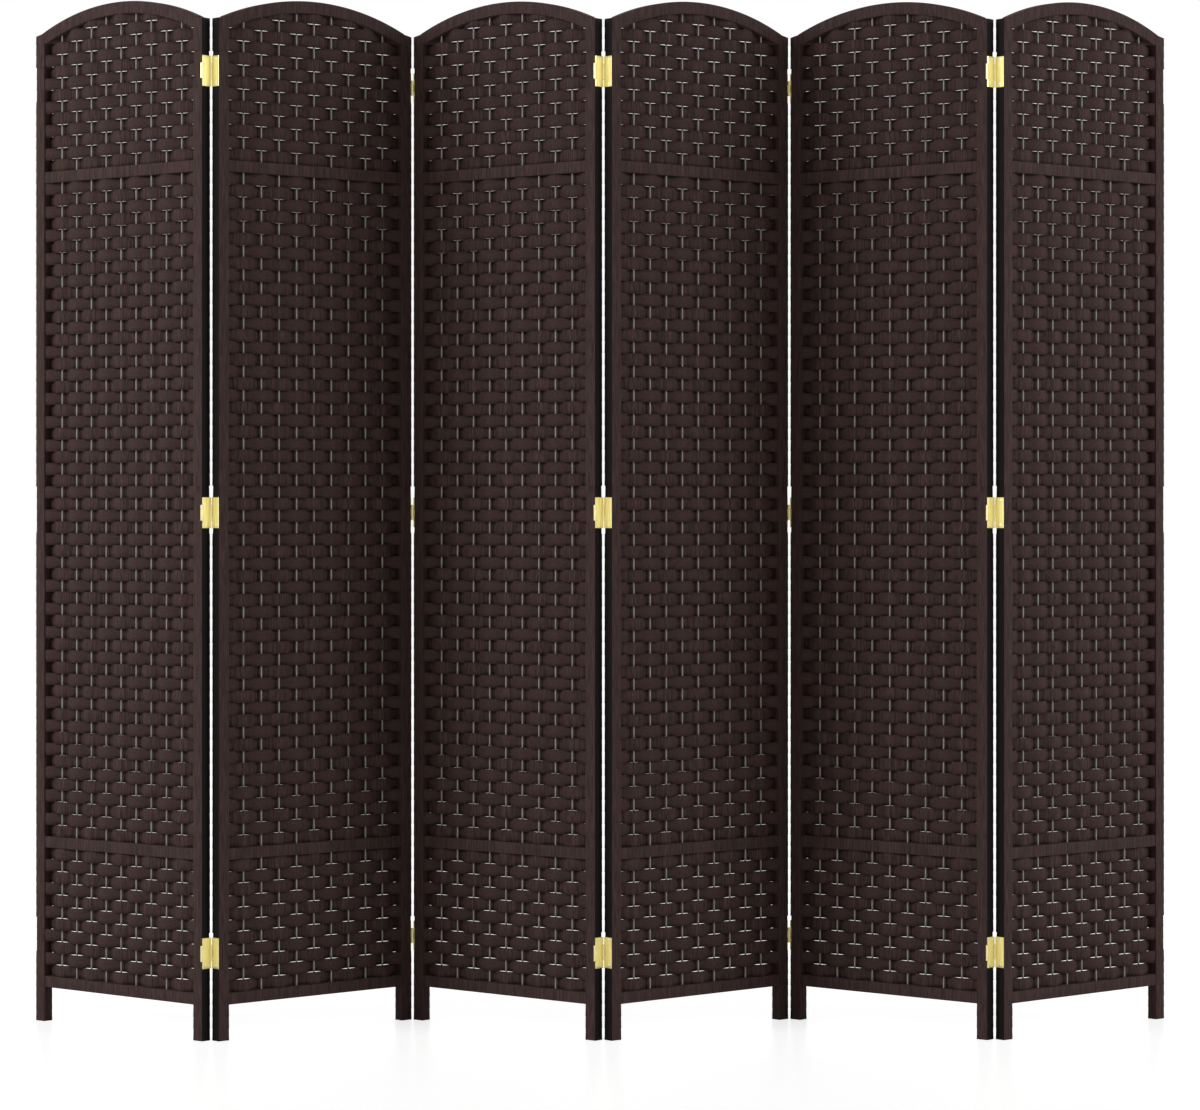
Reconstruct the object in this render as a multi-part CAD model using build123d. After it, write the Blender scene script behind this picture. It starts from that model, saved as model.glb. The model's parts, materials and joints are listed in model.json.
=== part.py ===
# Woven folding screen: six arched panels that stand in a zigzag on double-action hinges.
# Millimetres. +X runs along the screen, +Y away from its front, +Z up.
# The origin is on the floor, at the centre of the standing screen's outline.

import os
from math import cos, radians, sin, sqrt

from build123d import *

# Driving dimensions of the screen and of one panel
panel_count = 6
fold_angle = 41.0        # each panel stands this far off the screen's long axis
panel_width = 400.0
panel_thickness = 16.0
stile_height = 1660.0
screen_height = 1700.0   # top of the arch

# Frame sections
stile_width = 19.0
rail_height = 19.0
arch_band = 18.5
arch_radius = 472.0
foot_height = 57.5       # clear space under the bottom rail
edge_bevel = 0.8
tenon_length = 8.0
tenon_thickness = 8.0
tenon_height = 13.0

# Weave: flat ribbons that pass in front of and behind upright rods
row_pitch = 19.64
rows_below = 11          # rows between the bottom and the lower rail
rows_middle = 56         # rows between the lower and the upper rail
rod_count = 9
rod_radius = 1.75
rod_seat = 8.0           # how far a rod's foot stands in the bottom rail
slot_end = 10.0          # solid wood left at each end of a rail's rod slot
weave_reach = 7.3        # from the middle plane to a ribbon's outer face
ribbon_clearance = 0.05
bar_sides = 6            # rods and barrels are so slim that six flats stand for their round outside

# Double-action hinges: leaf, link and leaf between each pair of panels
hinge_heights = (142.0, 857.0, 1574.0)
plate_height = 50.0
plate_thickness = 1.1
plate_gap = 0.35
pin_radius = 1.0
pin_running_gap = 0.05
knuckle_radius = 2.15
pin_stand_off = 2.4      # from a panel's face to the pin's axis, so a turning knuckle clears the plates
barrel_height = 25.0
link_knuckle_height = 12.4
knuckle_gap = 0.3
round_pins = (False, True, False)   # low, middle and high hinge: the middle one sets a joint's axes

# Worked out from the above
half_width = panel_width / 2
half_thickness = panel_thickness / 2
stile_inner = half_width - stile_width
arch_centre_z = screen_height - arch_radius
arch_inner_radius = arch_radius - arch_band
rod_pitch = 2 * stile_inner / (rod_count + 1)
bottom_rail_z = foot_height
lower_rail_z = bottom_rail_z + rail_height + rows_below * row_pitch
upper_rail_z = lower_rail_z + rail_height + rows_middle * row_pitch
rail_feet = (bottom_rail_z, lower_rail_z, upper_rail_z)
joint_gap = 3 * plate_thickness + 2 * plate_gap
pin_inset = plate_thickness + plate_gap / 2     # from the left panel's edge to the front pin
pin_reach = half_thickness + pin_stand_off      # from the middle plane to either pin


def arc_height(radius, x):
    return arch_centre_z + sqrt(radius**2 - x**2)


def arc_between(radius, x_start, x_end):
    middle = (x_start + x_end) / 2
    points = [(x, arc_height(radius, x)) for x in (x_start, middle, x_end)]
    return ThreePointArc(*points)


def upright(wire, depth):
    """A solid of this thickness about the middle plane, from an outline drawn in X and Z."""
    return extrude(Plane.XZ * make_face(wire), depth / 2, both=True)


def vertical_edges(solid):
    return solid.edges().filter_by(Axis.Z)


def slim_bar(radius, length, across_flats=False):
    """An upright bar with bar_sides flats, one of them to the front. The radius is to its corners, or
    to its flats if asked."""
    turn = 90 - 180 / bar_sides
    section = RegularPolygon(radius, bar_sides, major_radius=not across_flats, rotation=turn)
    return extrude(section, length / 2, both=True)


def rod_places():
    return [-stile_inner + rod_pitch * (i + 1) for i in range(rod_count)]


def tenon(x, z):
    return Pos(x, 0, z) * Box(tenon_length, tenon_thickness, tenon_height)


# Frame
def make_stile(side):
    """side is -1 for the left stile and 1 for the right. Its top follows the arch where they meet."""
    outer, inner = side * half_width, side * stile_inner
    shoulder = side * sqrt(arch_radius**2 - (stile_height - arch_centre_z) ** 2)
    inner_top = (inner, arc_height(arch_radius, inner))
    outline = [
        Polyline((shoulder, stile_height), (outer, stile_height), (outer, 0), (inner, 0), inner_top),
        arc_between(arch_radius, inner, shoulder),
    ]
    stile = upright(outline, panel_thickness)
    long_edges = vertical_edges(stile).filter_by(lambda edge: edge.length > stile_height / 2)
    stile = chamfer(long_edges, edge_bevel)
    tenon_x = side * (stile_inner + tenon_length / 2)
    for z in rail_feet:
        stile -= tenon(tenon_x, z + rail_height / 2)
    return stile - tenon(tenon_x, arch_end_z())


def arch_end_z():
    return (arc_height(arch_radius, stile_inner) + arc_height(arch_inner_radius, stile_inner)) / 2


def make_arched_rail():
    low, high = (arc_height(r, stile_inner) for r in (arch_inner_radius, arch_radius))
    outline = [
        arc_between(arch_radius, -stile_inner, stile_inner),
        Line((stile_inner, high), (stile_inner, low)),
        arc_between(arch_inner_radius, stile_inner, -stile_inner),
        Line((-stile_inner, low), (-stile_inner, high)),
    ]
    arch = upright(outline, panel_thickness)
    for side in (-1, 1):
        arch += tenon(side * (stile_inner + tenon_length / 2), arch_end_z())
    return arch


def make_cross_rails():
    """The bottom, lower and upper rails, tenoned into the stiles. The rods are gripped in a long slot,
    which goes right through the lower and upper rails and stops part way down the bottom one."""
    rails = []
    for z in rail_feet:
        rail = Box(2 * stile_inner, panel_thickness, rail_height)
        for side in (-1, 1):
            rail += tenon(side * (stile_inner + tenon_length / 2), 0)
        depth = rod_seat if z == bottom_rail_z else rail_height
        slot = Box(2 * (stile_inner - slot_end), 2 * rod_radius, depth)
        rail -= Pos(0, 0, (rail_height - depth) / 2) * slot
        rails.append(Pos(0, 0, z + rail_height / 2) * rail)
    return rails


# Weave
def make_rods():
    """Each rod stands in the bottom rail, passes through the two above and ends under the arch."""
    foot = bottom_rail_z + rail_height - rod_seat
    rods = []
    corner = rod_radius / cos(radians(180 / bar_sides))
    for x in rod_places():
        length = arc_height(arch_inner_radius, abs(x) + corner) - foot
        rods.append(Pos(x, 0, foot + length / 2) * slim_bar(rod_radius, length, across_flats=True))
    return rods


def make_weave():
    """The ribbons of each bay, as a front and a back layer with the rods standing between them."""
    depth = weave_reach - rod_radius - ribbon_clearance
    middle_y = weave_reach - depth / 2
    bays = [(low + rail_height, high) for low, high in zip(rail_feet, rail_feet[1:])]
    layers = []
    for side in (-1, 1):
        for low, high in bays:
            layer = Box(2 * stile_inner, depth, high - low)
            layers.append(Pos(0, side * middle_y, (low + high) / 2) * layer)
        low = upper_rail_z + rail_height
        high = arc_height(arch_inner_radius, stile_inner)
        outline = [
            arc_between(arch_inner_radius, -stile_inner, stile_inner),
            Polyline((stile_inner, high), (stile_inner, low), (-stile_inner, low), (-stile_inner, high)),
        ]
        layers.append(Pos(0, side * middle_y, 0) * upright(outline, depth))
    return layers


# Hinges, drawn flat: X = 0 is the left panel's edge, and the front pin is on the -Y side
def knuckle(bottom, top, bore, plate_x):
    """A barrel section round the front pin, with the strip that joins it to its plate at plate_x."""
    height, centre = top - bottom, Pos(pin_inset, -pin_reach, (top + bottom) / 2)
    strip_y = -half_thickness - pin_stand_off / 2
    strip = Pos(plate_x, strip_y, (top + bottom) / 2) * Box(plate_thickness, pin_stand_off, height)
    return centre * slim_bar(knuckle_radius, height) + strip - centre * bore


def turned_about_joint(piece):
    """The same piece turned half round about the middle of the gap between the panels."""
    return Pos(joint_gap, 0, 0) * Rot(0, 0, 180) * piece


def make_left_leaf():
    plate_x = plate_thickness / 2
    leaf = Pos(plate_x, 0, 0) * Box(plate_thickness, panel_thickness, plate_height)
    bore = slim_bar(pin_radius + pin_running_gap, barrel_height, across_flats=True)
    inner, outer = link_knuckle_height / 2 + knuckle_gap, barrel_height / 2
    for low, high in ((-outer, -inner), (inner, outer)):
        leaf += knuckle(low, high, bore, plate_x)
    return leaf


def make_right_leaf():
    return turned_about_joint(make_left_leaf())


def make_link(with_round_pins):
    """The middle plate: one knuckle on the front pin and one on the back pin."""
    plate_x, half = joint_gap / 2, link_knuckle_height / 2
    plate = Pos(plate_x, 0, 0) * Box(plate_thickness, panel_thickness, plate_height)
    bore = slim_bar(pin_radius, barrel_height, across_flats=with_round_pins)
    front = knuckle(-half, half, bore, plate_x)
    return plate + front + turned_about_joint(front)


def make_pins(are_round):
    """The front and the back pin of one hinge. Both are held in the link and turn in the leaves."""
    pin = Cylinder(pin_radius, barrel_height) if are_round else slim_bar(pin_radius, barrel_height)
    front = Pos(pin_inset, -pin_reach, 0) * pin
    return [front, turned_about_joint(front)]


# Standing the screen: each panel's place follows from the pins it hangs on
def panel_angle(number):
    return -fold_angle if number % 2 else fold_angle


def turned(angle, x, y):
    a = radians(angle)
    return Vector(x * cos(a) - y * sin(a), x * sin(a) + y * cos(a), 0)


def opens_at_back(joint):
    """The odd joints point to the front and are open at the back pin, the even ones at the front pin."""
    return joint % 2 == 1


def open_pin_offsets(joint):
    """The open pin's place from the middle of the left and of the right panel, in their own axes."""
    if opens_at_back(joint):
        y, from_left = pin_reach, joint_gap - pin_inset
    else:
        y, from_left = -pin_reach, pin_inset
    return (half_width + from_left, y), (-half_width - (joint_gap - from_left), y)


def standing_centres():
    centres = [Vector(0, 0, 0)]
    for joint in range(1, panel_count):
        on_left, on_right = open_pin_offsets(joint)
        pin = centres[-1] + turned(panel_angle(joint), *on_left)
        centres.append(pin - turned(panel_angle(joint + 1), *on_right))
    return centres


def standing_places(centres):
    return [Pos(*c) * Rot(0, 0, panel_angle(i + 1)) for i, c in enumerate(centres)]


def at_hinge_heights(place, groups):
    """groups has the pieces of the low, the middle and the high hinge."""
    return [place * Pos(0, 0, z) * piece for z, pieces in zip(hinge_heights, groups) for piece in pieces]


def make_nodes(places):
    nodes = {}
    panel_pieces = {
        "left_stile": [make_stile(-1)],
        "right_stile": [make_stile(1)],
        "arched_rail": [make_arched_rail()],
        "cross_rails": make_cross_rails(),
        "warp_rods": make_rods(),
        "weave": make_weave(),
    }
    for number, place in enumerate(places, 1):
        for name, pieces in panel_pieces.items():
            nodes[f"panel_{number}_{name}"] = [place * piece for piece in pieces]
    left_leaves, right_leaves = [[make_left_leaf()]] * 3, [[make_right_leaf()]] * 3
    links = [[make_link(are_round)] for are_round in round_pins]
    pins = [make_pins(are_round) for are_round in round_pins]
    for joint in range(1, panel_count):
        on_left = places[joint - 1] * Pos(half_width, 0, 0)
        on_right = places[joint] * Pos(-half_width - joint_gap, 0, 0)
        with_link = on_left if opens_at_back(joint) else on_right
        nodes[f"hinge_{joint}_left_leaves"] = at_hinge_heights(on_left, left_leaves)
        nodes[f"hinge_{joint}_right_leaves"] = at_hinge_heights(on_right, right_leaves)
        nodes[f"hinge_{joint}_links"] = at_hinge_heights(with_link, links)
        nodes[f"hinge_{joint}_pins"] = at_hinge_heights(with_link, pins)
    return nodes


def centring_shift(nodes):
    box = Compound(children=[piece for pieces in nodes.values() for piece in pieces]).bounding_box()
    return Vector(-box.center().X, -box.center().Y, 0)


def main():
    centres = standing_centres()
    shift = centring_shift(make_nodes(standing_places(centres)))
    nodes = make_nodes(standing_places([c + shift for c in centres]))
    os.makedirs("parts", exist_ok=True)
    for name, pieces in nodes.items():
        export_step(Compound(children=pieces), f"parts/{name}.step")


main()
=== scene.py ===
import json
import math

import bmesh
import bpy
from mathutils import Matrix, Vector


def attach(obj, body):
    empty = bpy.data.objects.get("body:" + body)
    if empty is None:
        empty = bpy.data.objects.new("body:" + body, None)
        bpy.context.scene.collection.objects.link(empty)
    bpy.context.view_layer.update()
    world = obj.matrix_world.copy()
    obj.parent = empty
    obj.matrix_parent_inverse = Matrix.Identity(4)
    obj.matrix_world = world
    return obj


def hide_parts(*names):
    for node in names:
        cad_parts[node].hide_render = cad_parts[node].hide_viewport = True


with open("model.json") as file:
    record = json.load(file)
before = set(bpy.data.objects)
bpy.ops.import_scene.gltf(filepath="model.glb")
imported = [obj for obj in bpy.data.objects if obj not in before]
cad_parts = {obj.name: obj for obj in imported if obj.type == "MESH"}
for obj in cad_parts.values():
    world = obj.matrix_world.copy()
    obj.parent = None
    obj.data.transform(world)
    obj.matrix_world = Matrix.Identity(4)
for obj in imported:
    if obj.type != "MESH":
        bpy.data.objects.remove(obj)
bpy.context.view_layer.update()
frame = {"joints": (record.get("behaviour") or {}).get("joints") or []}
print("frame loaded")

mm = 0.001
panelCount = 6
jointCount = panelCount - 1

# How one panel is laid out, in the panel's own axes: x along its width, y to its back, z up
panel = {
    "width": 400 * mm,
    "thickness": 16 * mm,
    "foldAngle": 41,
    "stileWidth": 19 * mm,
    "stileHeight": 1660 * mm,
    "railHeight": 19 * mm,
    "bottomRail": 57.5 * mm,
    "archRadius": 472 * mm,
    "archBand": 18.5 * mm,
    "archTop": 1700 * mm,
    "rowPitch": 19.64 * mm,
    "rows": (11, 56, 13),
    "rods": 9,
}
halfWidth = panel["width"] / 2
stileInner = halfWidth - panel["stileWidth"]
archCentre = panel["archTop"] - panel["archRadius"]
rodPitch = 2 * stileInner / (panel["rods"] + 1)
lowerRail = panel["bottomRail"] + panel["railHeight"] + panel["rows"][0] * panel["rowPitch"]
upperRail = lowerRail + panel["railHeight"] + panel["rows"][1] * panel["rowPitch"]
railFeet = (panel["bottomRail"], lowerRail, upperRail)

pinInset = 1.275 * mm  # from a panel's edge to its own pin
pinReach = 10.4 * mm  # from a panel's middle plane to either pin
jointGap = 4 * mm


def archHeight(radius, x):
    return archCentre + math.sqrt(radius**2 - x**2)


def pinOf(joint, side):
    found = next(j for j in frame["joints"] if j["name"] == f"hinge_{joint}_{side}_pin")
    return Vector(found["pos_m"])


def panelPlace(number):
    # each panel hangs on its own pin, so its middle follows from the pin in the frame
    angle = math.radians(panel["foldAngle"] * (-1 if number % 2 else 1))
    turn = Matrix.Rotation(angle, 4, "Z")
    if number < panelCount:
        pin, inPanel = pinOf(number, "front"), Vector((halfWidth + pinInset, -pinReach, 0))
    else:
        pin, inPanel = pinOf(number - 1, "back"), Vector((-halfWidth - pinInset, pinReach, 0))
    middle = pin - turn @ inPanel
    middle.z = 0
    return Matrix.Translation(middle) @ turn


def linkPlace(joint):
    # the link lies on the left leaf at the joints that point to the front, else on the right leaf
    if joint % 2:
        return panelPlace(joint) @ Matrix.Translation((halfWidth, 0, 0))
    return panelPlace(joint + 1) @ Matrix.Translation((-halfWidth - jointGap, 0, 0))


# Camera and light
view = {
    "place": (-0.0969, -6.390, 0.8705),
    "turn": -0.836,
    "lens": 115.6,
    "shiftDown": 50.6 / 1200,
    "farthest": 60,
}
camera = bpy.data.objects.new("camera", bpy.data.cameras.new("camera"))
bpy.context.scene.collection.objects.link(camera)
camera.location = view["place"]
camera.rotation_euler = (math.radians(90), 0, math.radians(view["turn"]))
camera.data.lens = view["lens"]
camera.data.shift_y = -view["shiftDown"]
camera.data.clip_end = view["farthest"]
bpy.context.scene.camera = camera
bpy.context.scene.view_settings.view_transform = "Standard"


def linearColour(hexValue):
    parts = [int(hexValue[i : i + 2], 16) / 255 for i in (0, 2, 4)]
    linear = [c / 12.92 if c <= 0.04045 else ((c + 0.055) / 1.055) ** 2.4 for c in parts]
    return (*linear, 1)


def addNode(tree, kind, links=None, **settings):
    node = tree.nodes.new(kind)
    for name, value in settings.items():
        setattr(node, name, value)
    for socket, value in (links or {}).items():
        if isinstance(value, bpy.types.NodeSocket):
            tree.links.new(value, node.inputs[socket])
        else:
            node.inputs[socket].default_value = value
    return node


plainWhite = (1, 1, 1, 1)
studio = {
    "skyStrength": 0.29,
    "glossStrength": 1.0,
    "keyPower": 238,
    "keyPlace": (-5.9, -3.0, 3.2),
    "keySize": 2.6,
    "fillPower": 184,
    "fillPlace": (6.0, -3.0, 3.0),
    "fillSize": 2.6,
    "aim": (0, 0, 0.85),
    "floorColour": "f0f0f0",
    "floorGlow": 1.68,
    "glowShare": 0.45,  # how much of what the camera sees of the floor is the glow
    "floorRoughness": 0.28,
    "floorIor": 1.3,
    "floorReach": 14,
}


def softBox(name, place, size, power):
    lamp = bpy.data.lights.new(name, "AREA")
    lamp.size, lamp.energy = size, power
    holder = bpy.data.objects.new(name, lamp)
    holder.location = place
    sight = Vector(studio["aim"]) - Vector(place)
    holder.rotation_euler = sight.to_track_quat("-Z", "Y").to_euler()
    bpy.context.scene.collection.objects.link(holder)


def setStudio():
    softBox("keyLight", studio["keyPlace"], studio["keySize"], studio["keyPower"])
    softBox("fillLight", studio["fillPlace"], studio["fillSize"], studio["fillPower"])
    world = bpy.data.worlds.new("whiteRoom")
    world.use_nodes = True
    bpy.context.scene.world = world
    tree = world.node_tree
    tree.nodes.clear()
    path = addNode(tree, "ShaderNodeLightPath")
    dim = addNode(
        tree, "ShaderNodeBackground", {"Color": plainWhite, "Strength": studio["skyStrength"]}
    )
    sheen = addNode(
        tree, "ShaderNodeBackground", {"Color": plainWhite, "Strength": studio["glossStrength"]}
    )
    white = addNode(tree, "ShaderNodeBackground", {"Color": plainWhite, "Strength": 1.0})
    glossy = addNode(
        tree,
        "ShaderNodeMixShader",
        {0: path.outputs["Is Glossy Ray"], 1: dim.outputs[0], 2: sheen.outputs[0]},
    )
    mix = addNode(
        tree,
        "ShaderNodeMixShader",
        {0: path.outputs["Is Camera Ray"], 1: glossy.outputs[0], 2: white.outputs[0]},
    )
    addNode(tree, "ShaderNodeOutputWorld", {"Surface": mix.outputs[0]})


def floorMaterial():
    # white seamless paper with a faint sheen that keeps the screen's shadow
    material = bpy.data.materials.new("seamlessPaper")
    material.use_nodes = True
    tree = material.node_tree
    tree.nodes.clear()
    path = addNode(tree, "ShaderNodeLightPath")
    paper = addNode(
        tree,
        "ShaderNodeBsdfPrincipled",
        {
            "Base Color": linearColour(studio["floorColour"]),
            "Roughness": studio["floorRoughness"],
            "IOR": studio["floorIor"],
        },
    )
    glow = addNode(
        tree, "ShaderNodeEmission", {"Color": plainWhite, "Strength": studio["floorGlow"]}
    )
    lift = addNode(
        tree,
        "ShaderNodeMixShader",
        {0: studio["glowShare"], 1: paper.outputs[0], 2: glow.outputs[0]},
    )
    mix = addNode(
        tree,
        "ShaderNodeMixShader",
        {0: path.outputs["Is Camera Ray"], 1: paper.outputs[0], 2: lift.outputs[0]},
    )
    addNode(tree, "ShaderNodeOutputMaterial", {"Surface": mix.outputs[0]})
    return material


def makeFloor():
    mesh = bpy.data.meshes.new("floor")
    reach = studio["floorReach"]
    corners = [(x * reach, y * reach, 0) for x, y in ((-1, -1), (1, -1), (1, 1), (-1, 1))]
    mesh.from_pydata(corners, [], [(0, 1, 2, 3)])
    floor = bpy.data.objects.new("floor", mesh)
    bpy.context.scene.collection.objects.link(floor)
    mesh.materials.append(floorMaterial())


setStudio()
makeFloor()
print("camera, floor and light set")


# Materials
paperYarn = {
    "litColour": "4b3836",
    "shadeColour": "2a201f",
    # near-black painted shade for the stiles' sides that face the next panel, deep in the joints
    "paintedShadeColour": "100b0a",
    "redTint": (1.08, 0.97, 0.95, 1),
    "oliveTint": (0.95, 1.03, 0.98, 1),
    "threadPitch": 2.2,  # mm, the yarns are finer, but this is as fine as the picture can show
    "tintPitch": 5.0,  # mm, from one shade of yarn to the next
    "grainSize": 1.6,  # mm, creases of the flattened yarn
    "threadStretch": 14,  # how many times longer than wide a thread's mark is
    "tintStretch": 5,
    "grainShare": 1.0,
    "toneRange": (0.34, 0.64),
    "tintRange": (0.4, 0.6),
    "bumpStrength": 0.5,
    "bumpDepth": 0.5 * mm,
    "roughness": 0.7,
    "specular": 0.12,
}
wrapYarn = {"litColour": "4a3836", "shadeColour": "2e2423", "grainShare": 0.25}


def paperYarnMaterial(name, yarn):
    # twisted paper yarn pressed flat: matt, with fine upright threads that differ a little in tone
    material = bpy.data.materials.new(name)
    material.use_nodes = True
    tree = material.node_tree
    tree.nodes.clear()
    place = addNode(tree, "ShaderNodeAttribute", attribute_name="onPiece")
    across = 1000 / paperYarn["threadPitch"]
    along = across / paperYarn["threadStretch"]
    stretch = addNode(
        tree,
        "ShaderNodeVectorMath",
        {0: place.outputs["Vector"], 1: (across, across, along)},
        operation="MULTIPLY",
    )
    threads = addNode(
        tree,
        "ShaderNodeTexNoise",
        {"Vector": stretch.outputs[0], "Scale": 1.0, "Detail": 2.0, "Roughness": 0.6},
    )
    fine = 1000 / paperYarn["grainSize"]
    grainPlace = addNode(
        tree,
        "ShaderNodeVectorMath",
        {0: place.outputs["Vector"], 1: (fine, fine, fine)},
        operation="MULTIPLY",
    )
    grain = addNode(
        tree,
        "ShaderNodeTexNoise",
        {
            "Vector": grainPlace.outputs[0],
            "Scale": 1.0,
            "Detail": 3.0,
            "Roughness": 0.65,
            "Distortion": 0.8,
        },
    )
    creased = addNode(tree, "ShaderNodeAttribute", attribute_name="creased")
    share = addNode(
        tree,
        "ShaderNodeMath",
        {0: creased.outputs["Fac"], 1: yarn["grainShare"]},
        operation="MULTIPLY",
    )
    tone = addNode(
        tree,
        "ShaderNodeMix",
        {0: share.outputs[0], 2: threads.outputs["Fac"], 3: grain.outputs["Fac"]},
    )
    ramp = addNode(tree, "ShaderNodeValToRGB", {"Fac": tone.outputs[0]})
    dark, light = ramp.color_ramp.elements
    dark.position, light.position = paperYarn["toneRange"]
    dark.color, light.color = linearColour(yarn["shadeColour"]), linearColour(yarn["litColour"])
    wide = 1000 / paperYarn["tintPitch"]
    high = wide / paperYarn["tintStretch"]
    tintPlace = addNode(
        tree,
        "ShaderNodeVectorMath",
        {0: place.outputs["Vector"], 1: (wide, wide, high)},
        operation="MULTIPLY",
    )
    tintNoise = addNode(
        tree, "ShaderNodeTexNoise", {"Vector": tintPlace.outputs[0], "Scale": 1.0, "Detail": 1.0}
    )
    tint = addNode(tree, "ShaderNodeValToRGB", {"Fac": tintNoise.outputs["Fac"]})
    red, olive = tint.color_ramp.elements
    red.position, olive.position = paperYarn["tintRange"]
    red.color, olive.color = paperYarn["redTint"], paperYarn["oliveTint"]
    tinted = addNode(
        tree,
        "ShaderNodeMix",
        {0: 1.0, 6: ramp.outputs[0], 7: tint.outputs[0]},
        data_type="RGBA",
        blend_type="MULTIPLY",
    )
    # painted shade: near-black mixed into the colour where the stile side mask is set, for the
    # shade deep in the joints
    paintedShade = addNode(tree, "ShaderNodeAttribute", attribute_name="paintedShade")
    shadeMixed = addNode(
        tree,
        "ShaderNodeMix",
        {0: paintedShade.outputs["Fac"], 6: tinted.outputs[2], 7: linearColour(paperYarn["paintedShadeColour"])},
        data_type="RGBA",
    )
    bump = addNode(
        tree,
        "ShaderNodeBump",
        {
            "Strength": paperYarn["bumpStrength"],
            "Distance": paperYarn["bumpDepth"],
            "Height": tone.outputs[0],
        },
    )
    cloth = addNode(
        tree,
        "ShaderNodeBsdfPrincipled",
        {
            "Base Color": shadeMixed.outputs[2],
            "Roughness": paperYarn["roughness"],
            "Normal": bump.outputs[0],
            "Specular IOR Level": paperYarn["specular"],
        },
    )
    addNode(tree, "ShaderNodeOutputMaterial", {"Surface": cloth.outputs[0]})
    return material


rodFinish = {
    "colour": "a3a19c",
    "shade": "7b7874",
    "roughness": 0.5,
    "streakScale": (900, 900, 60),  # per metre: streaks about 1 mm wide and 17 mm long
    "toneRange": (0.3, 0.7),
}


def rodMaterial():
    # rods of grey fibre, drawn smooth, with a soft gloss down their length
    material = bpy.data.materials.new("greyRodFibre")
    material.use_nodes = True
    tree = material.node_tree
    tree.nodes.clear()
    place = addNode(tree, "ShaderNodeAttribute", attribute_name="onPiece")
    stretch = addNode(
        tree,
        "ShaderNodeVectorMath",
        {0: place.outputs["Vector"], 1: rodFinish["streakScale"]},
        operation="MULTIPLY",
    )
    streaks = addNode(
        tree, "ShaderNodeTexNoise", {"Vector": stretch.outputs[0], "Scale": 1.0, "Detail": 2.0}
    )
    ramp = addNode(tree, "ShaderNodeValToRGB", {"Fac": streaks.outputs["Fac"]})
    dark, light = ramp.color_ramp.elements
    dark.position, light.position = rodFinish["toneRange"]
    dark.color, light.color = linearColour(rodFinish["shade"]), linearColour(rodFinish["colour"])
    fibre = addNode(
        tree,
        "ShaderNodeBsdfPrincipled",
        {"Base Color": ramp.outputs[0], "Roughness": rodFinish["roughness"]},
    )
    addNode(tree, "ShaderNodeOutputMaterial", {"Surface": fibre.outputs[0]})
    return material


brassFinish = {
    "colour": "fff6bc",
    "tarnish": "e2ca72",
    "metallic": 0.85,
    "roughness": 0.32,
    "linePitch": 1.3,  # mm, as fine as the picture can show, though real lines are finer
    "lineStretch": 30,
    "toneRange": (0.2, 0.55),
    "bumpStrength": 0.15,
    "bumpDepth": 0.1 * mm,
}


def brassMaterial():
    # stamped sheet with bright brass plating: a broad, pale yellow gloss with faint rolling lines
    material = bpy.data.materials.new("brassPlate")
    material.use_nodes = True
    tree = material.node_tree
    tree.nodes.clear()
    place = addNode(tree, "ShaderNodeAttribute", attribute_name="onPiece")
    fine = 1000 / brassFinish["linePitch"]
    along = fine / brassFinish["lineStretch"]
    stretch = addNode(
        tree,
        "ShaderNodeVectorMath",
        {0: place.outputs["Vector"], 1: (fine, fine, along)},
        operation="MULTIPLY",
    )
    lines = addNode(
        tree, "ShaderNodeTexNoise", {"Vector": stretch.outputs[0], "Scale": 1.0, "Detail": 2.0}
    )
    ramp = addNode(tree, "ShaderNodeValToRGB", {"Fac": lines.outputs["Fac"]})
    dark, light = ramp.color_ramp.elements
    dark.position, light.position = brassFinish["toneRange"]
    dark.color = linearColour(brassFinish["tarnish"])
    light.color = linearColour(brassFinish["colour"])
    bump = addNode(
        tree,
        "ShaderNodeBump",
        {
            "Strength": brassFinish["bumpStrength"],
            "Distance": brassFinish["bumpDepth"],
            "Height": lines.outputs["Fac"],
        },
    )
    brass = addNode(
        tree,
        "ShaderNodeBsdfPrincipled",
        {
            "Base Color": ramp.outputs[0],
            "Metallic": brassFinish["metallic"],
            "Roughness": brassFinish["roughness"],
            "Normal": bump.outputs[0],
        },
    )
    addNode(tree, "ShaderNodeOutputMaterial", {"Surface": brass.outputs[0]})
    return material


weaveMaterial = paperYarnMaterial("flatPaperYarn", paperYarn)
wrapMaterial = paperYarnMaterial("wrappedPaperYarn", wrapYarn)
greyRod = rodMaterial()
brassPlate = brassMaterial()
print("materials made")


# How finely the repeated shapes are drawn
fineness = {"ribbonSteps": 71, "sectionCuts": 2, "cornerSteps": 3, "bandRings": 4, "rodSides": 14}


# Every tree takes its sizes as named inputs and ends in Realize Instances and Set Material
def newTree(name, sizes, material):
    tree = bpy.data.node_groups.new(name, "GeometryNodeTree")
    tree.interface.new_socket("Geometry", in_out="INPUT", socket_type="NodeSocketGeometry")
    for label, value in sizes.items():
        socket = tree.interface.new_socket(label, in_out="INPUT", socket_type="NodeSocketFloat")
        socket.default_value = value
    finish = tree.interface.new_socket("Finish", in_out="INPUT", socket_type="NodeSocketMaterial")
    finish.default_value = material
    tree.interface.new_socket("Geometry", in_out="OUTPUT", socket_type="NodeSocketGeometry")
    source = addNode(tree, "NodeGroupInput")
    return tree, source


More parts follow.
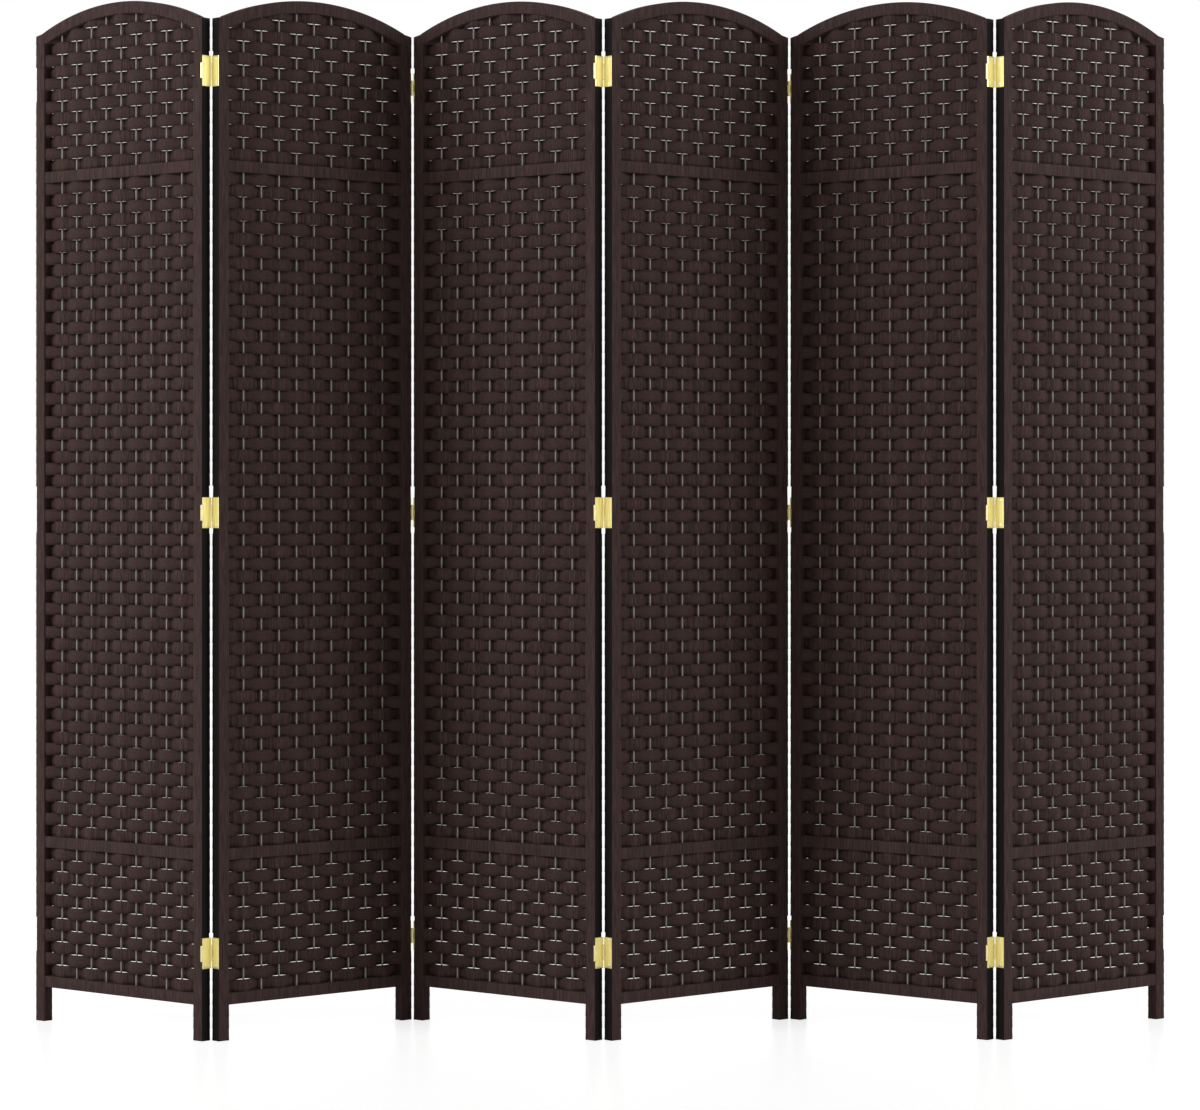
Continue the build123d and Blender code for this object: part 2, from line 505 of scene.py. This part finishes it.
def endTree(tree, source, geometry):
    # keeps each point's place on the piece for the finish to follow
    place = addNode(tree, "GeometryNodeInputPosition")
    whole = addNode(tree, "GeometryNodeRealizeInstances", {"Geometry": geometry})
    kept = addNode(
        tree,
        "GeometryNodeStoreNamedAttribute",
        {"Geometry": whole.outputs[0], "Name": "onPiece", "Value": place.outputs[0]},
        data_type="FLOAT_VECTOR",
        domain="POINT",
    )
    dressed = addNode(
        tree,
        "GeometryNodeSetMaterial",
        {"Geometry": kept.outputs[0], "Material": source.outputs["Finish"]},
    )
    addNode(tree, "NodeGroupOutput", {"Geometry": dressed.outputs[0]})


def growPiece(name, base, tree, sizes, finish, place):
    carrier = bpy.data.objects.new(name + "Base", base)
    bpy.context.scene.collection.objects.link(carrier)
    modifier = carrier.modifiers.new("grow", "NODES")
    modifier.node_group = tree
    inputs = [item for item in tree.interface.items_tree if item.in_out == "INPUT"]
    named = {item.name: item.identifier for item in inputs}
    for label, value in sizes.items():
        modifier[named[label]] = value
    modifier[named["Finish"]] = finish
    bpy.context.view_layer.update()
    evaluated = carrier.evaluated_get(bpy.context.evaluated_depsgraph_get())
    grown = bpy.data.meshes.new_from_object(evaluated)
    carrier.modifiers.remove(modifier)
    bpy.data.objects.remove(carrier)
    grown.name = name
    grown.transform(place)
    grown.polygons.foreach_set("use_smooth", [True] * len(grown.polygons))
    piece = bpy.data.objects.new(name, grown)
    bpy.context.scene.collection.objects.link(piece)
    return piece


def mount(piece, body, slotName, *nodes):
    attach(piece, body)
    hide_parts(*nodes)


# Woven ribbons
ribbon = {
    "Half Length": stileInner + 1.5 * mm,
    "Half Span": stileInner,
    "Rod Pitch": rodPitch,
    "Swing": 6.4 * mm,
    "Thickness": 1.1 * mm,
    "Height": panel["rowPitch"] + 0.55 * mm,
    "Crown": 0.9,
    "Swell": 0.02,
    "Arch Radius": panel["archRadius"] - panel["archBand"] / 2,
    "Arch Centre": archCentre,
}


def ribbonTree():
    tree, source = newTree("wovenRibbons", ribbon, weaveMaterial)
    size = source.outputs
    left = addNode(tree, "ShaderNodeMath", {0: size["Half Length"], 1: -1.0}, operation="MULTIPLY")
    start = addNode(tree, "ShaderNodeCombineXYZ", {0: left.outputs[0]})
    end = addNode(tree, "ShaderNodeCombineXYZ", {0: size["Half Length"]})
    line = addNode(
        tree, "GeometryNodeCurvePrimitiveLine", {"Start": start.outputs[0], "End": end.outputs[0]}
    )
    points = addNode(
        tree,
        "GeometryNodeResampleCurve",
        {"Curve": line.outputs[0], "Count": fineness["ribbonSteps"]},
    )
    # over one rod and under the next: a cosine whose half wave is the rod pitch
    place = addNode(tree, "GeometryNodeInputPosition")
    axes = addNode(tree, "ShaderNodeSeparateXYZ", {0: place.outputs[0]})
    run = addNode(
        tree, "ShaderNodeMath", {0: axes.outputs[0], 1: size["Half Span"]}, operation="ADD"
    )
    rods = addNode(
        tree, "ShaderNodeMath", {0: run.outputs[0], 1: size["Rod Pitch"]}, operation="DIVIDE"
    )
    phase = addNode(tree, "ShaderNodeMath", {0: rods.outputs[0], 1: math.pi}, operation="MULTIPLY")
    wave = addNode(tree, "ShaderNodeMath", {0: phase.outputs[0]}, operation="COSINE")
    aside = addNode(
        tree, "ShaderNodeMath", {0: wave.outputs[0], 1: size["Swing"]}, operation="MULTIPLY"
    )
    shift = addNode(tree, "ShaderNodeCombineXYZ", {1: aside.outputs[0]})
    waved = addNode(
        tree, "GeometryNodeSetPosition", {"Geometry": points.outputs[0], "Offset": shift.outputs[0]}
    )
    level = addNode(tree, "GeometryNodeSetCurveNormal", {"Curve": waved.outputs[0]}, mode="Z_UP")
    # the ribbon's section: a flat strip with crowned faces
    section = addNode(
        tree,
        "GeometryNodeCurvePrimitiveQuadrilateral",
        {"Width": size["Thickness"], "Height": size["Height"]},
    )
    cut = addNode(
        tree,
        "GeometryNodeSubdivideCurve",
        {"Curve": section.outputs[0], "Cuts": fineness["sectionCuts"]},
    )
    onSection = addNode(tree, "GeometryNodeInputPosition")
    sectionAxes = addNode(tree, "ShaderNodeSeparateXYZ", {0: onSection.outputs[0]})
    halfHeight = addNode(tree, "ShaderNodeMath", {0: size["Height"], 1: 0.5}, operation="MULTIPLY")
    up = addNode(
        tree,
        "ShaderNodeMath",
        {0: sectionAxes.outputs[1], 1: halfHeight.outputs[0]},
        operation="DIVIDE",
    )
    upSquared = addNode(tree, "ShaderNodeMath", {0: up.outputs[0], 1: 2.0}, operation="POWER")
    middle = addNode(
        tree, "ShaderNodeMath", {0: 1.0, 1: upSquared.outputs[0]}, operation="SUBTRACT"
    )
    bulge = addNode(
        tree,
        "ShaderNodeMath",
        {0: middle.outputs[0], 1: size["Crown"], 2: 0.5},
        operation="MULTIPLY_ADD",
    )
    widened = addNode(
        tree,
        "ShaderNodeMath",
        {0: sectionAxes.outputs[0], 1: bulge.outputs[0]},
        operation="MULTIPLY",
    )
    sectionPlace = addNode(
        tree, "ShaderNodeCombineXYZ", {0: widened.outputs[0], 1: sectionAxes.outputs[1]}
    )
    crowned = addNode(
        tree,
        "GeometryNodeSetPosition",
        {"Geometry": cut.outputs[0], "Position": sectionPlace.outputs[0]},
    )
    strip = addNode(
        tree,
        "GeometryNodeCurveToMesh",
        {"Curve": level.outputs[0], "Profile Curve": crowned.outputs[0], "Fill Caps": True},
    )
    # a ribbon is a little taller where it stands out than where it passes between two rods
    stripPlace = addNode(tree, "GeometryNodeInputPosition")
    stripAxes = addNode(tree, "ShaderNodeSeparateXYZ", {0: stripPlace.outputs[0]})
    out = addNode(
        tree, "ShaderNodeMath", {0: stripAxes.outputs[1], 1: size["Swing"]}, operation="DIVIDE"
    )
    outSquared = addNode(tree, "ShaderNodeMath", {0: out.outputs[0], 1: 2.0}, operation="POWER")
    swell = addNode(
        tree,
        "ShaderNodeMath",
        {0: outSquared.outputs[0], 1: size["Swell"], 2: 1.0},
        operation="MULTIPLY_ADD",
    )
    taller = addNode(
        tree, "ShaderNodeMath", {0: stripAxes.outputs[2], 1: swell.outputs[0]}, operation="MULTIPLY"
    )
    swollenPlace = addNode(
        tree,
        "ShaderNodeCombineXYZ",
        {0: stripAxes.outputs[0], 1: stripAxes.outputs[1], 2: taller.outputs[0]},
    )
    swollen = addNode(
        tree,
        "GeometryNodeSetPosition",
        {"Geometry": strip.outputs[0], "Position": swollenPlace.outputs[0]},
    )
    # one ribbon to a row, every second one turned half round to pass the rods on their other side
    turned = addNode(
        tree, "GeometryNodeInputNamedAttribute", {"Name": "creased"}, data_type="FLOAT"
    )
    halfTurn = addNode(
        tree, "ShaderNodeMath", {0: turned.outputs[0], 1: math.pi}, operation="MULTIPLY"
    )
    facing = addNode(tree, "ShaderNodeCombineXYZ", {2: halfTurn.outputs[0]})
    rows = addNode(
        tree,
        "GeometryNodeInstanceOnPoints",
        {"Points": size["Geometry"], "Instance": swollen.outputs[0], "Rotation": facing.outputs[0]},
    )
    whole = addNode(tree, "GeometryNodeRealizeInstances", {"Geometry": rows.outputs[0]})
    # rows in the top bay end in the middle of the arched rail
    rowPlace = addNode(tree, "GeometryNodeInputPosition")
    rowAxes = addNode(tree, "ShaderNodeSeparateXYZ", {0: rowPlace.outputs[0]})
    xSquared = addNode(tree, "ShaderNodeMath", {0: rowAxes.outputs[0], 1: 2.0}, operation="POWER")
    radiusSquared = addNode(
        tree, "ShaderNodeMath", {0: size["Arch Radius"], 1: 2.0}, operation="POWER"
    )
    underRoot = addNode(
        tree,
        "ShaderNodeMath",
        {0: radiusSquared.outputs[0], 1: xSquared.outputs[0]},
        operation="SUBTRACT",
    )
    rise = addNode(tree, "ShaderNodeMath", {0: underRoot.outputs[0], 1: 0.5}, operation="POWER")
    roof = addNode(
        tree, "ShaderNodeMath", {0: rise.outputs[0], 1: size["Arch Centre"]}, operation="ADD"
    )
    lowest = addNode(
        tree, "ShaderNodeMath", {0: rowAxes.outputs[2], 1: roof.outputs[0]}, operation="MINIMUM"
    )
    trimmedPlace = addNode(
        tree,
        "ShaderNodeCombineXYZ",
        {0: rowAxes.outputs[0], 1: rowAxes.outputs[1], 2: lowest.outputs[0]},
    )
    over = addNode(
        tree, "ShaderNodeMath", {0: rowAxes.outputs[2], 1: roof.outputs[0]}, operation="SUBTRACT"
    )
    wellOver = addNode(
        tree, "ShaderNodeMath", {0: over.outputs[0], 1: size["Height"]}, operation="GREATER_THAN"
    )
    cutOff = addNode(
        tree,
        "GeometryNodeDeleteGeometry",
        {"Geometry": whole.outputs[0], "Selection": wellOver.outputs[0]},
        domain="POINT",
    )
    trimmed = addNode(
        tree,
        "GeometryNodeSetPosition",
        {"Geometry": cutOff.outputs[0], "Position": trimmedPlace.outputs[0]},
    )
    endTree(tree, source, trimmed.outputs[0])
    return tree


def rowPoints():
    # one point to a row, with 1 in "creased" for the rows of creased yarn
    heights, creased = [], []
    for foot, rows in zip(railFeet, panel["rows"]):
        for row in range(rows):
            heights.append(foot + panel["railHeight"] + (row + 0.5) * panel["rowPitch"])
            creased.append(row % 2)
    mesh = bpy.data.meshes.new("rows")
    mesh.from_pydata([(0, 0, z) for z in heights], [], [])
    attribute = mesh.attributes.new("creased", "FLOAT", "POINT")
    attribute.data.foreach_set("value", [float(value) for value in creased])
    return mesh


def makeWeave():
    tree = ribbonTree()
    for number in range(1, panelCount + 1):
        name, place = f"wovenRibbons{number}", panelPlace(number)
        piece = growPiece(name, rowPoints(), tree, ribbon, weaveMaterial, place)
        mount(piece, f"panel_{number}", "woven_ribbon", f"panel_{number}_weave")
    print("ribbons woven")


makeWeave()


# Hinge sizes stand here because the wrap round the stiles leaves room for the plates
hinge = {
    "heights": (142 * mm, 857 * mm, 1574 * mm),
    "plateHeight": 50 * mm,
    "plateThickness": 1.1 * mm,
    "knuckleRadius": 1.9 * mm,
    "pinRadius": 1.3 * mm,  # 0.3 mm thicker than the part's pin, so that its ends show
    "pinEdge": 0.3 * mm,
    "pinProud": 0.5 * mm,
    "barrelHeight": 25 * mm,
    "linkKnuckle": 12.4 * mm,
    "knuckleGap": 0.3 * mm,
    "root": 0.5 * mm,  # how deep the tongues and lips start in the plate
    "lip": 2.3 * mm,
    "lipGap": 0.3 * mm,
    "screwHeight": 20.5 * mm,
    "screwRadius": 2.6 * mm,
    "screwCrown": 0.3 * mm,
    "edge": 0.2 * mm,
    "sides": 20,
}


# Wrapped stiles: a band of ribbon to each row, its lower edge lapped over the band beneath
wrapSkin = 1.2 * mm  # how far a band's foot stands off the wood
bandRoom = {"footBands": 3, "leastBand": 6 * mm}
stile = {
    "Width": panel["stileWidth"] + 2 * wrapSkin,
    "Thickness": panel["thickness"] + 2 * wrapSkin,
    "Corner": 0.8 * mm,
    "Band Height": panel["rowPitch"] + 1.0 * mm,
    "Lap": 0.03,
    "Squeeze": 0.078,  # how much slimmer a band is beside a hinge
    "Corner Share": 0.6,  # where the painted shade on the side ends in the corner's curve
    "Edge From": halfWidth - 5 * mm,
    "Top": panel["stileHeight"],
    "Arch Radius": panel["archRadius"],
    "Arch Centre": archCentre,
}


def stileTree():
    tree, source = newTree("wrappedStile", stile, wrapMaterial)
    size = source.outputs
    section = addNode(
        tree,
        "GeometryNodeCurvePrimitiveQuadrilateral",
        {"Width": size["Width"], "Height": size["Thickness"]},
    )
    rounded = addNode(
        tree,
        "GeometryNodeFilletCurve",
        {
            "Curve": section.outputs[0],
            "Radius": size["Corner"],
            "Count": fineness["cornerSteps"],
            "Limit Radius": True,
        },
        mode="POLY",
    )
    top = addNode(tree, "ShaderNodeCombineXYZ", {2: size["Band Height"]})
    rise = addNode(tree, "GeometryNodeCurvePrimitiveLine", {"End": top.outputs[0]})
    rings = addNode(
        tree,
        "GeometryNodeResampleCurve",
        {"Curve": rise.outputs[0], "Count": fineness["bandRings"]},
    )
    band = addNode(
        tree,
        "GeometryNodeCurveToMesh",
        {"Curve": rings.outputs[0], "Profile Curve": rounded.outputs[0], "Fill Caps": True},
    )
    # the sides that look along the panel are marked for painted shade: a near-black colour standing
    # in for the shade deep in the joints
    place = addNode(tree, "GeometryNodeInputPosition")
    axes = addNode(tree, "ShaderNodeSeparateXYZ", {0: place.outputs[0]})
    across = addNode(tree, "ShaderNodeMath", {0: axes.outputs[0]}, operation="ABSOLUTE")
    halfGirth = addNode(tree, "ShaderNodeMath", {0: size["Width"], 1: 0.5}, operation="MULTIPLY")
    curve = addNode(
        tree, "ShaderNodeMath", {0: size["Corner"], 1: size["Corner Share"]}, operation="MULTIPLY"
    )
    turn = addNode(
        tree, "ShaderNodeMath", {0: halfGirth.outputs[0], 1: curve.outputs[0]}, operation="SUBTRACT"
    )
    onSide = addNode(
        tree, "ShaderNodeMath", {0: across.outputs[0], 1: turn.outputs[0]}, operation="GREATER_THAN"
    )
    paintedShadeBand = addNode(
        tree,
        "GeometryNodeStoreNamedAttribute",
        {"Geometry": band.outputs[0], "Name": "paintedShade", "Value": onSide.outputs[0]},
        data_type="FLOAT",
        domain="POINT",
    )
    # the band tapers upwards, so that its foot laps over the one beneath
    share = addNode(
        tree, "ShaderNodeMath", {0: axes.outputs[2], 1: size["Band Height"]}, operation="DIVIDE"
    )
    taper = addNode(
        tree, "ShaderNodeMath", {0: share.outputs[0], 1: size["Lap"]}, operation="MULTIPLY"
    )
    narrow = addNode(tree, "ShaderNodeMath", {0: 1.0, 1: taper.outputs[0]}, operation="SUBTRACT")
    xNarrow = addNode(
        tree, "ShaderNodeMath", {0: axes.outputs[0], 1: narrow.outputs[0]}, operation="MULTIPLY"
    )
    yNarrow = addNode(
        tree, "ShaderNodeMath", {0: axes.outputs[1], 1: narrow.outputs[0]}, operation="MULTIPLY"
    )
    narrowed = addNode(
        tree,
        "ShaderNodeCombineXYZ",
        {0: xNarrow.outputs[0], 1: yNarrow.outputs[0], 2: axes.outputs[2]},
    )
    tapered = addNode(
        tree,
        "GeometryNodeSetPosition",
        {"Geometry": paintedShadeBand.outputs[0], "Position": narrowed.outputs[0]},
    )
    # beside a hinge the leaves have pressed the wrap flat
    pressed = addNode(
        tree, "GeometryNodeInputNamedAttribute", {"Name": "pressed"}, data_type="FLOAT"
    )
    loss = addNode(
        tree, "ShaderNodeMath", {0: pressed.outputs[0], 1: size["Squeeze"]}, operation="MULTIPLY"
    )
    left = addNode(tree, "ShaderNodeMath", {0: 1.0, 1: loss.outputs[0]}, operation="SUBTRACT")
    girth = addNode(tree, "ShaderNodeCombineXYZ", {0: left.outputs[0], 1: left.outputs[0], 2: 1.0})
    bands = addNode(
        tree,
        "GeometryNodeInstanceOnPoints",
        {"Points": size["Geometry"], "Instance": tapered.outputs[0], "Scale": girth.outputs[0]},
    )
    whole = addNode(tree, "GeometryNodeRealizeInstances", {"Geometry": bands.outputs[0]})
    # the top is level outside the arch's shoulder and follows the arch inside it
    wholePlace = addNode(tree, "GeometryNodeInputPosition")
    wholeAxes = addNode(tree, "ShaderNodeSeparateXYZ", {0: wholePlace.outputs[0]})
    xSquared = addNode(tree, "ShaderNodeMath", {0: wholeAxes.outputs[0], 1: 2.0}, operation="POWER")
    radiusSquared = addNode(
        tree, "ShaderNodeMath", {0: size["Arch Radius"], 1: 2.0}, operation="POWER"
    )
    rest = addNode(
        tree,
        "ShaderNodeMath",
        {0: radiusSquared.outputs[0], 1: xSquared.outputs[0]},
        operation="SUBTRACT",
    )
    archRise = addNode(tree, "ShaderNodeMath", {0: rest.outputs[0], 1: 0.5}, operation="POWER")
    archAt = addNode(
        tree, "ShaderNodeMath", {0: archRise.outputs[0], 1: size["Arch Centre"]}, operation="ADD"
    )
    roof = addNode(
        tree, "ShaderNodeMath", {0: archAt.outputs[0], 1: size["Top"]}, operation="MAXIMUM"
    )
    lowest = addNode(
        tree, "ShaderNodeMath", {0: wholeAxes.outputs[2], 1: roof.outputs[0]}, operation="MINIMUM"
    )
    trimmedPlace = addNode(
        tree,
        "ShaderNodeCombineXYZ",
        {0: wholeAxes.outputs[0], 1: wholeAxes.outputs[1], 2: lowest.outputs[0]},
    )
    trimmed = addNode(
        tree,
        "GeometryNodeSetPosition",
        {"Geometry": whole.outputs[0], "Position": trimmedPlace.outputs[0]},
    )
    # of the two marked sides, only the one that faces the next panel keeps the painted shade
    apart = addNode(tree, "ShaderNodeMath", {0: wholeAxes.outputs[0]}, operation="ABSOLUTE")
    beyond = addNode(
        tree,
        "ShaderNodeMath",
        {0: apart.outputs[0], 1: size["Edge From"]},
        operation="GREATER_THAN",
    )
    side = addNode(tree, "GeometryNodeInputNamedAttribute", {"Name": "paintedShade"}, data_type="FLOAT")
    facing = addNode(
        tree, "ShaderNodeMath", {0: side.outputs[0], 1: beyond.outputs[0]}, operation="MULTIPLY"
    )
    marked = addNode(
        tree,
        "GeometryNodeStoreNamedAttribute",
        {"Geometry": trimmed.outputs[0], "Name": "paintedShade", "Value": facing.outputs[0]},
        data_type="FLOAT",
        domain="POINT",
    )
    endTree(tree, source, marked.outputs[0])
    return tree


def bandPoints(x):
    # bands keep step with the rows of each bay, and a rail takes one band
    footBand = panel["bottomRail"] / bandRoom["footBands"]
    heights = [i * footBand for i in range(bandRoom["footBands"])]
    for foot, rows in zip(railFeet, panel["rows"]):
        heights.append(foot)
        heights += [foot + panel["railHeight"] + row * panel["rowPitch"] for row in range(rows)]
    heights = [z for z in heights if z < panel["stileHeight"] - bandRoom["leastBand"]]
    mesh = bpy.data.meshes.new("bands")
    mesh.from_pydata([(x, 0, z) for z in heights], [], [])
    attribute = mesh.attributes.new("pressed", "FLOAT", "POINT")
    halfBand = panel["rowPitch"] / 2
    room = halfBand + hinge["plateHeight"] / 2
    near = [min(abs(z + halfBand - at) for at in hinge["heights"]) < room for z in heights]
    attribute.data.foreach_set("value", [float(value) for value in near])
    return mesh


def makeStiles():
    tree = stileTree()
    for number in range(1, panelCount + 1):
        for side, x in (("left", -1), ("right", 1)):
            middle = x * (halfWidth - panel["stileWidth"] / 2)
            name = f"{side}Stile{number}"
            place = panelPlace(number)
            piece = growPiece(name, bandPoints(middle), tree, stile, wrapMaterial, place)
            mount(piece, f"panel_{number}", "wrapped_frame", f"panel_{number}_{side}_stile")
    print("stiles wrapped")


makeStiles()


# Rails, arches and rods: a section swept along lines that Python lays out
bar = {"Width": panel["railHeight"], "Thickness": panel["thickness"] - 0.2 * mm, "Corner": 1.5 * mm}
archBar = {
    **bar,
    "Width": panel["archBand"] + 1.8 * mm,
    "Thickness": panel["thickness"] + 0.8 * mm,
}
barFit = {"intoStile": 1 * mm, "rodSeat": 8 * mm, "archSteps": 48}


def barTree():
    tree, source = newTree("wrappedBar", bar, wrapMaterial)
    size = source.outputs
    paths = addNode(tree, "GeometryNodeMeshToCurve", {"Mesh": size["Geometry"]})
    level = addNode(tree, "GeometryNodeSetCurveNormal", {"Curve": paths.outputs[0]}, mode="Z_UP")
    section = addNode(
        tree,
        "GeometryNodeCurvePrimitiveQuadrilateral",
        {"Width": size["Thickness"], "Height": size["Width"]},
    )
    rounded = addNode(
        tree,
        "GeometryNodeFilletCurve",
        {
            "Curve": section.outputs[0],
            "Radius": size["Corner"],
            "Count": fineness["cornerSteps"],
            "Limit Radius": True,
        },
        mode="POLY",
    )
    swept = addNode(
        tree,
        "GeometryNodeCurveToMesh",
        {"Curve": level.outputs[0], "Profile Curve": rounded.outputs[0], "Fill Caps": True},
    )
    endTree(tree, source, swept.outputs[0])
    return tree


rod = {"Radius": 1.45 * mm}


def rodTree():
    tree, source = newTree("warpRods", rod, greyRod)
    size = source.outputs
    paths = addNode(tree, "GeometryNodeMeshToCurve", {"Mesh": size["Geometry"]})
    section = addNode(
        tree,
        "GeometryNodeCurvePrimitiveCircle",
        {"Resolution": fineness["rodSides"], "Radius": size["Radius"]},
        mode="RADIUS",
    )
    swept = addNode(
        tree,
        "GeometryNodeCurveToMesh",
        {"Curve": paths.outputs[0], "Profile Curve": section.outputs[0], "Fill Caps": True},
    )
    endTree(tree, source, swept.outputs[0])
    return tree


def linePoints(lines):
    mesh = bpy.data.meshes.new("lines")
    points, edges = [], []
    for line in lines:
        first = len(points)
        points += line
        edges += [(i, i + 1) for i in range(first, first + len(line) - 1)]
    mesh.from_pydata(points, edges, [])
    return mesh


def makeBars():
    bars, rods = barTree(), rodTree()
    reach = stileInner + barFit["intoStile"]
    middles = [z + panel["railHeight"] / 2 for z in railFeet]
    railLines = [[(-reach, 0, z), (reach, 0, z)] for z in middles]
    middleRadius = panel["archRadius"] - panel["archBand"] / 2
    steps = barFit["archSteps"]
    across = [-reach + 2 * reach * i / steps for i in range(steps + 1)]
    archLine = [[(x, 0, archHeight(middleRadius + wrapSkin, x)) for x in across]]
    rodFoot = panel["bottomRail"] + panel["railHeight"] - barFit["rodSeat"]
    rodLines = []
    for i in range(panel["rods"]):
        x = -stileInner + rodPitch * (i + 1)
        rodLines.append([(x, 0, rodFoot), (x, 0, archHeight(middleRadius, x))])
    for number in range(1, panelCount + 1):
        place, body = panelPlace(number), f"panel_{number}"
        rails = growPiece(
            f"crossRails{number}", linePoints(railLines), bars, bar, wrapMaterial, place
        )
        mount(rails, body, "wrapped_frame", f"panel_{number}_cross_rails")
        arch = growPiece(
            f"archedRail{number}", linePoints(archLine), bars, archBar, wrapMaterial, place
        )
        mount(arch, body, "wrapped_frame", f"panel_{number}_arched_rail")
        poles = growPiece(f"warpRods{number}", linePoints(rodLines), rods, rod, greyRod, place)
        mount(poles, body, "rod_fibre", f"panel_{number}_warp_rods")
    print("rails, arches and rods made")


makeBars()


# Hinges, drawn between two flat panels: x = 0 is the left panel's edge, the front pin is at -y
def roundBar(mesh, x, y, low, high, radius, edge, sides):
    # an upright round bar with bevelled ends, drawn as four rings
    levels = [
        (low, radius - edge),
        (low + edge, radius),
        (high - edge, radius),
        (high, radius - edge),
    ]
    turns = [2 * math.pi * i / sides for i in range(sides)]
    rings = []
    for z, size in levels:
        spots = [(x + size * math.cos(turn), y + size * math.sin(turn), z) for turn in turns]
        rings.append([mesh.verts.new(spot) for spot in spots])
    for below, above in zip(rings, rings[1:]):
        for i in range(sides):
            j = (i + 1) % sides
            mesh.faces.new((below[i], below[j], above[j], above[i]))
    mesh.faces.new(rings[0][::-1])
    mesh.faces.new(rings[-1])


def bevelledBlock(mesh, low, high, edge):
    corners = bmesh.ops.create_cube(mesh, size=1)["verts"]
    middle = [(a + b) / 2 for a, b in zip(low, high)]
    size = [b - a for a, b in zip(low, high)]
    for vert in corners:
        vert.co = Vector([m + c * s for m, c, s in zip(middle, vert.co, size)])
    edges = list({e for vert in corners for e in vert.link_edges})
    bmesh.ops.bevel(mesh, geom=edges, offset=edge, segments=1, affect="EDGES")


def screwHeads(mesh, z, x):
    # raised countersunk heads with a cross recess left out, two to a leaf
    for side in (-1, 1):
        made = bmesh.ops.create_uvsphere(
            mesh, u_segments=16, v_segments=8, radius=hinge["screwRadius"]
        )
        for vert in made["verts"]:
            vert.co.x *= hinge["screwCrown"] / hinge["screwRadius"]
            vert.co += Vector((x, 0, z + side * hinge["screwHeight"]))


def leafShape(mesh, z, plateX, frontSpans, backSpans):
    # a plate the full thickness of the stile, with knuckles on its front pin, its back pin or both
    near, far = plateX - hinge["plateThickness"] / 2, plateX + hinge["plateThickness"] / 2
    half, halfHeight = panel["thickness"] / 2, hinge["plateHeight"] / 2
    bevelledBlock(mesh, (near, -half, z - halfHeight), (far, half, z + halfHeight), hinge["edge"])
    for side, spans, pinX in ((-1, frontSpans, pinInset), (1, backSpans, jointGap - pinInset)):
        pinY = side * pinReach
        inner, outer = sorted((side * (half - hinge["root"]), pinY))
        for bottom, top in spans:
            low, high = z + bottom, z + top
            roundBar(
                mesh, pinX, pinY, low, high, hinge["knuckleRadius"], hinge["edge"], hinge["sides"]
            )
            bevelledBlock(mesh, (near, inner, low), (far, outer, high), hinge["edge"] / 2)


def hingeMesh(name, draw, place):
    mesh = bpy.data.meshes.new(name)
    shape = bmesh.new()
    for z in hinge["heights"]:
        draw(shape, z)
    bmesh.ops.recalc_face_normals(shape, faces=shape.faces[:])
    shape.to_mesh(mesh)
    shape.free()
    attribute = mesh.attributes.new("onPiece", "FLOAT_VECTOR", "POINT")
    attribute.data.foreach_set("vector", [c for vert in mesh.vertices for c in vert.co])
    mesh.transform(place)
    mesh.materials.append(brassPlate)
    piece = bpy.data.objects.new(name, mesh)
    bpy.context.scene.collection.objects.link(piece)
    return piece


def makeHinges():
    half, outer = hinge["linkKnuckle"] / 2, hinge["barrelHeight"] / 2
    inner = half + hinge["knuckleGap"]
    lipFoot, lipTop = outer + hinge["lipGap"], hinge["plateHeight"] / 2
    leafSpans, linkSpans = [(-outer, -inner), (inner, outer)], [(-half, half)]
    halfPlate = hinge["plateThickness"] / 2
    leftX, linkX, rightX = halfPlate, jointGap / 2, jointGap - halfPlate

    def backLips(mesh, z, x):
        # above and below the barrel the plate reaches towards the back pin and shuts out the light
        start = panel["thickness"] / 2 - hinge["root"]
        end = start + hinge["lip"]
        for low, high in ((-lipTop, -lipFoot), (lipFoot, lipTop)):
            near, far = (x - halfPlate, start, z + low), (x + halfPlate, end, z + high)
            bevelledBlock(mesh, near, far, hinge["edge"] / 2)

    def drawLeft(mesh, z):
        leafShape(mesh, z, leftX, leafSpans, [])
        screwHeads(mesh, z, leftX + halfPlate)

    def drawRight(mesh, z):
        leafShape(mesh, z, rightX, [], leafSpans)
        backLips(mesh, z, rightX)
        screwHeads(mesh, z, rightX - halfPlate)

    def drawLink(mesh, z):
        leafShape(mesh, z, linkX, linkSpans, linkSpans)
        backLips(mesh, z, linkX)

    def drawPins(mesh, z):
        radius, edge, sides = hinge["pinRadius"], hinge["pinEdge"], hinge["sides"]
        reach = outer + hinge["pinProud"]
        for side, x in ((-1, pinInset), (1, jointGap - pinInset)):
            roundBar(mesh, x, side * pinReach, z - reach, z + reach, radius, edge, sides)

    for joint in range(1, jointCount + 1):
        onLeft = panelPlace(joint) @ Matrix.Translation((halfWidth, 0, 0))
        onRight = panelPlace(joint + 1) @ Matrix.Translation((-halfWidth - jointGap, 0, 0))
        withLink = linkPlace(joint)
        pieces = (
            ("leftLeaves", drawLeft, onLeft, f"panel_{joint}", "left_leaves"),
            ("rightLeaves", drawRight, onRight, f"panel_{joint + 1}", "right_leaves"),
            ("links", drawLink, withLink, f"link_{joint}", "links"),
            ("pins", drawPins, withLink, f"link_{joint}", "pins"),
        )
        for name, draw, place, body, node in pieces:
            piece = hingeMesh(f"{name}{joint}", draw, place)
            mount(piece, body, "hinge_brass", f"hinge_{joint}_{node}")
    print("hinges made")


makeHinges()
